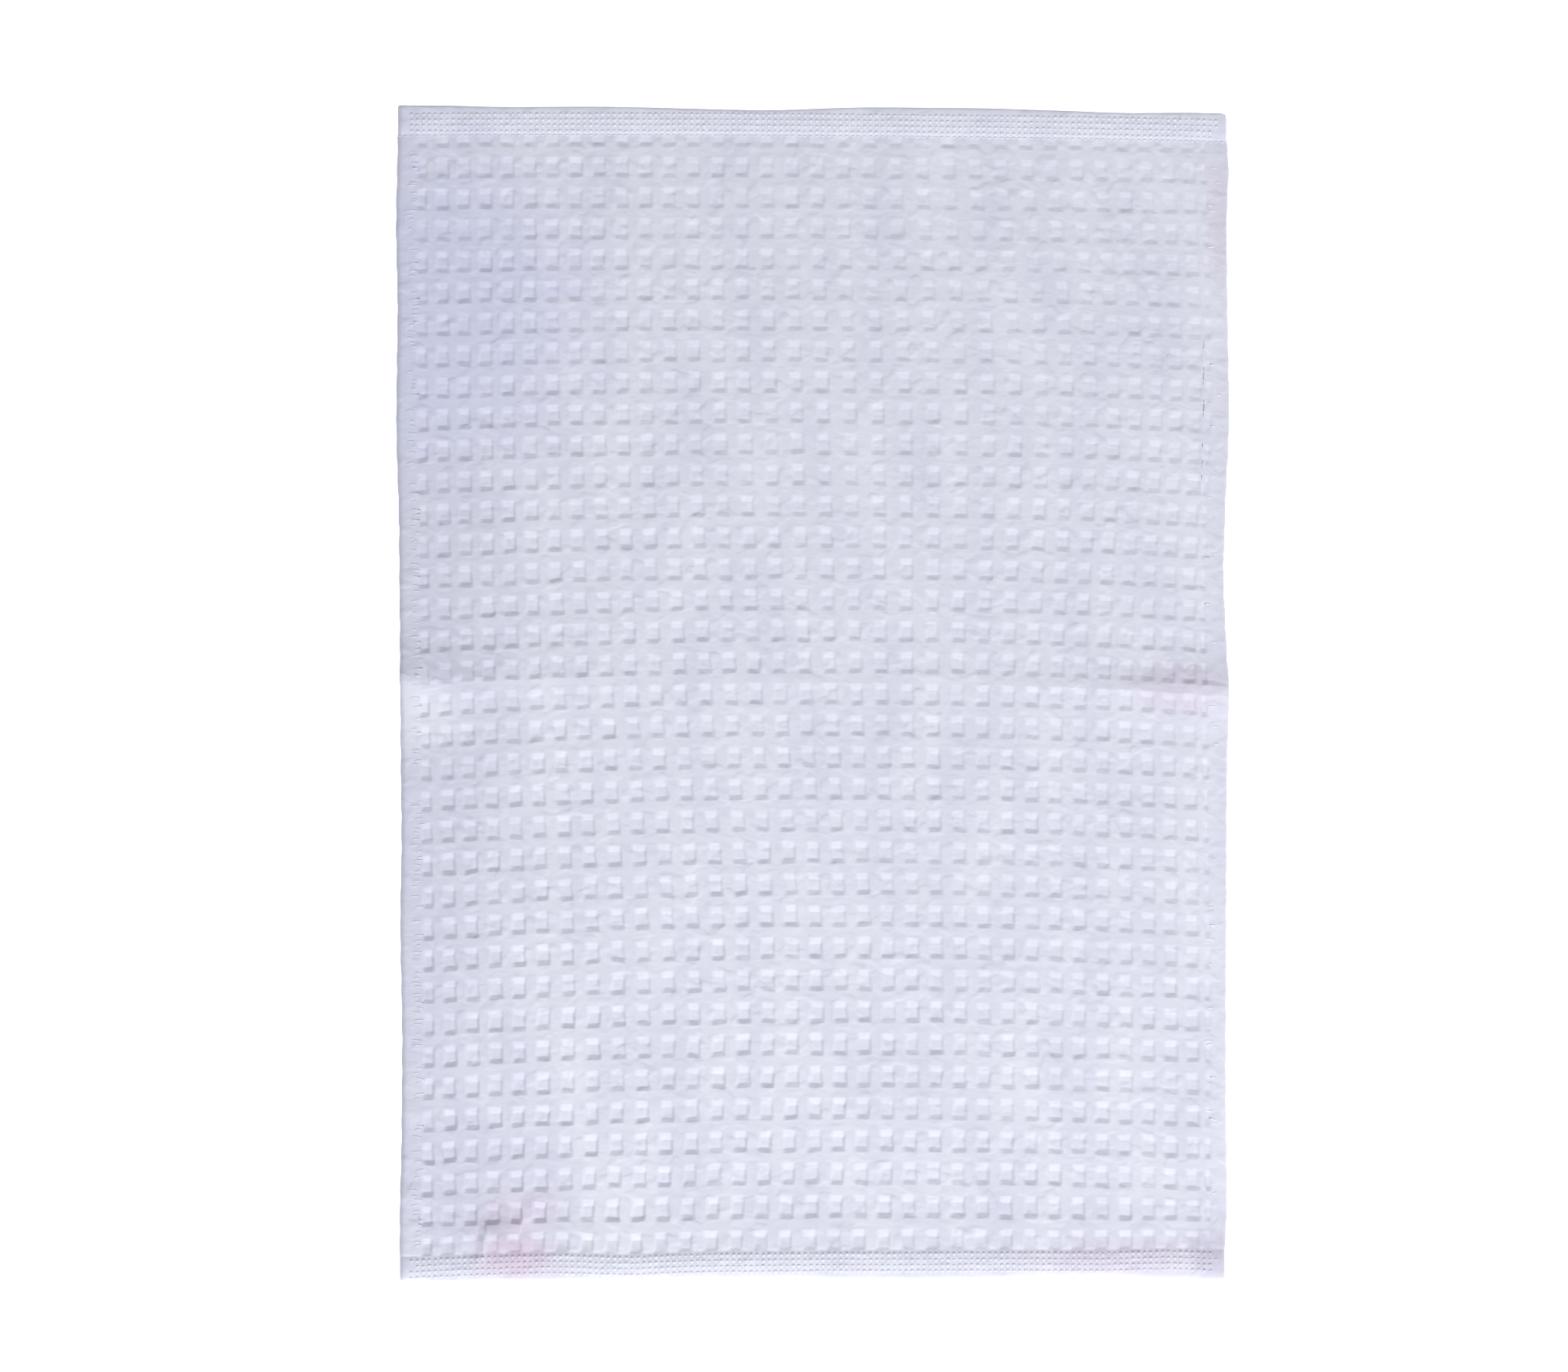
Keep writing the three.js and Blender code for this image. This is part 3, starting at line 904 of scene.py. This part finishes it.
# The rows stop this far from a selvedge, give or take
FLOATS_END = 6 * MM
END_VARIES = (-1 * MM, 3 * MM)
# The bottom seam pulls its stitches down into the cloth
STITCH_SIZE = {-1: (2.4 * MM, 0.6 * MM, 0.4 * MM), 1: (2.4 * MM, 1.0 * MM, 0.7 * MM)}
STITCH_SUNK = {-1: 0.6, 1: 0.3}

hem_floats, stitches = [], []
all_columns = np.arange(-2, COLUMNS + 2)
for seam, outward in ((BOTTOM_SEAM_ROW, -1), (TOP_SEAM_ROW, 1)):
    seam_line = along_at(all_columns, seam)
    seam_x = across_at(all_columns, seam)
    for px in np.arange(-SEWN_HALF, SEWN_HALF, FLOAT_PITCH):
        seam_at = np.interp(px, seam_x, seam_line)
        ends_in = min(px - left_edge(seam_at), right_edge(seam_at) - px)
        stitch_x = px + chance.normal(0, STITCH_STRAYS)
        stitches.append((stitch_x, seam_at, 0.0, STITCH_SIZE[outward], STITCH_SUNK[outward]))
        for k in range(FLOAT_ROWS):
            if ends_in < FLOATS_END + chance.uniform(*END_VARIES):
                continue
            py = seam_at + outward * (FIRST_FLOAT_ROW + k * FLOAT_ROW_PITCH)
            py += chance.normal(0, FLOAT_STRAYS[1])
            shrink = chance.uniform(*FLOAT_SHRINKS)
            size = tuple(part * shrink for part in FLOAT_SIZE)
            float_x = px + chance.normal(0, FLOAT_STRAYS[0])
            hem_floats.append((float_x, py, chance.normal(0, FLOAT_TURNS), size, FLOAT_SUNK))
hem_piece = lay_beads("hem-floats", hem_floats)
stitch_piece = lay_beads("hem-stitches", stitches)

# %% Ends of weft across the border of each selvedge
WEFT_PITCH = 3.2 * MM
WEFTS_HALF = 334 * MM
WEFT_SIZE = (5.5 * MM, 1.2 * MM, 0.4 * MM)
WEFT_LENGTHS = (0.5, 1.2)
WEFT_SUNK = 0.5
# How far inside the border they lie, how far they stray across and along, and how far they turn
WEFT_INSIDE = 0.5 * MM
WEFT_STRAYS = (1.2 * MM, 0.7 * MM)
WEFT_TURNS = 0.16
# Most show at the left selvedge: edge, width of the selvedge, which way is inwards, share that shows
BORDERS = ((left_edge, LEFT_SELVEDGE, 1, 0.7), (right_edge, RIGHT_SELVEDGE, -1, 0.15))

wefts = []
for edge, inset, inward, share in BORDERS:
    for py in np.arange(-WEFTS_HALF, WEFTS_HALF, WEFT_PITCH):
        if chance.uniform() > share:
            continue
        px = edge(py) + inward * (inset + chance.normal(WEFT_INSIDE, WEFT_STRAYS[0]))
        size = (WEFT_SIZE[0] * chance.uniform(*WEFT_LENGTHS), *WEFT_SIZE[1:])
        weft_y = py + chance.normal(0, WEFT_STRAYS[1])
        wefts.append((px, weft_y, chance.normal(0, WEFT_TURNS), size, WEFT_SUNK))
weft_piece = lay_beads("selvedge-wefts", wefts)

# %% [markdown]
# ## Floor, light and camera
#
# The towel is seen from straight above, on a white table. One large soft lamp stands beyond its bottom
# end, a little to the right and fairly low, so every ridge shows a lit side and a shaded side. A faint
# second lamp on the right draws the edges. A plain white surround fills the shadows. The view is set to
# Standard, because the other view transforms would turn white cloth grey.

# %% The table
TABLE_BELOW = 0.2 * MM
# Large enough that its edge stays out of all but the lowest views
HALF_TABLE = 20.0
# Matt laminate, made to glow so that it stays white beside white cloth and under its shadow
TABLE_GLOW = 0.9

table_mesh = bpy.data.meshes.new("table-top")
ways = ((-1, -1), (1, -1), (1, 1), (-1, 1))
corners = [(HALF_TABLE * cx, HALF_TABLE * cy, -TABLE_BELOW) for cx, cy in ways]
table_mesh.from_pydata(corners, [], [(0, 1, 2, 3)])
table = bpy.data.objects.new("table-top", table_mesh)
bpy.context.scene.collection.objects.link(table)
white = new_material("matt white laminate")
tree = white.node_tree
glow = {"Emission Color": linear("#FFFFFF"), "Emission Strength": TABLE_GLOW}
shader = {"Base Color": linear("#F8F8F8"), "Roughness": 0.9, **glow}
shader = add(tree, "ShaderNodeBsdfPrincipled", shader)
add(tree, "ShaderNodeOutputMaterial", {"Surface": shader})
table_mesh.materials.append(white)
print("table:", 2 * HALF_TABLE, "m square,", TABLE_BELOW / MM, "mm below the cloth")

# %% The lamps and the surround
# Distance in metres, turn from the towel's bottom end towards its right and rise above the table in
# degrees, size in metres, power in watts
LAMPS = {
    "main-lamp": (4.8, 7, 38, 2.4, 219.0),
    "side-lamp": (3.8, 95, 45, 1.5, 16.0),
}
SURROUND = 0.35

for name, (distance, turn, rise, size, power) in LAMPS.items():
    lamp_data = bpy.data.lights.new(name, "AREA")
    lamp_data.shape = "SQUARE"
    lamp_data.size = size
    lamp_data.energy = power
    lamp = bpy.data.objects.new(name, lamp_data)
    bpy.context.scene.collection.objects.link(lamp)
    turn, rise = math.radians(turn), math.radians(rise)
    towards = Vector((math.sin(turn) * math.cos(rise), -math.cos(turn) * math.cos(rise), math.sin(rise)))
    lamp.location = towards * distance
    lamp.rotation_euler = towards.to_track_quat("Z", "Y").to_euler()
    print(name, "stands at", [round(v, 2) for v in lamp.location], "m")

world = bpy.data.worlds.new("surround")
world.use_nodes = True
world.node_tree.nodes["Background"].inputs["Color"].default_value = (1, 1, 1, 1)
world.node_tree.nodes["Background"].inputs["Strength"].default_value = SURROUND
bpy.context.scene.world = world
bpy.context.scene.view_settings.view_transform = "Standard"

# %% The camera
CAMERA_HEIGHT = 2.24
CAMERA_OFF = (-17.4 * MM, 5.1 * MM)
LENS_MM = 85
SENSOR_MM = 36

camera_data = bpy.data.cameras.new("camera")
camera_data.lens = LENS_MM
camera_data.sensor_width = SENSOR_MM
camera = bpy.data.objects.new("camera", camera_data)
camera.location = (*CAMERA_OFF, CAMERA_HEIGHT)
bpy.context.scene.collection.objects.link(camera)
bpy.context.scene.camera = camera
print("camera", CAMERA_HEIGHT, "m above the table")

# %% [markdown]
# ## Tie the pieces to the frame
#
# Every piece rides on the part's one body. The cloth stands for the imported solid, which is hidden.

pieces = [cloth, hem_piece, stitch_piece, weft_piece]
for piece in pieces:
    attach(piece, "root")
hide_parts("towel")
print("pieces on the frame:", ", ".join(piece.name for piece in pieces))
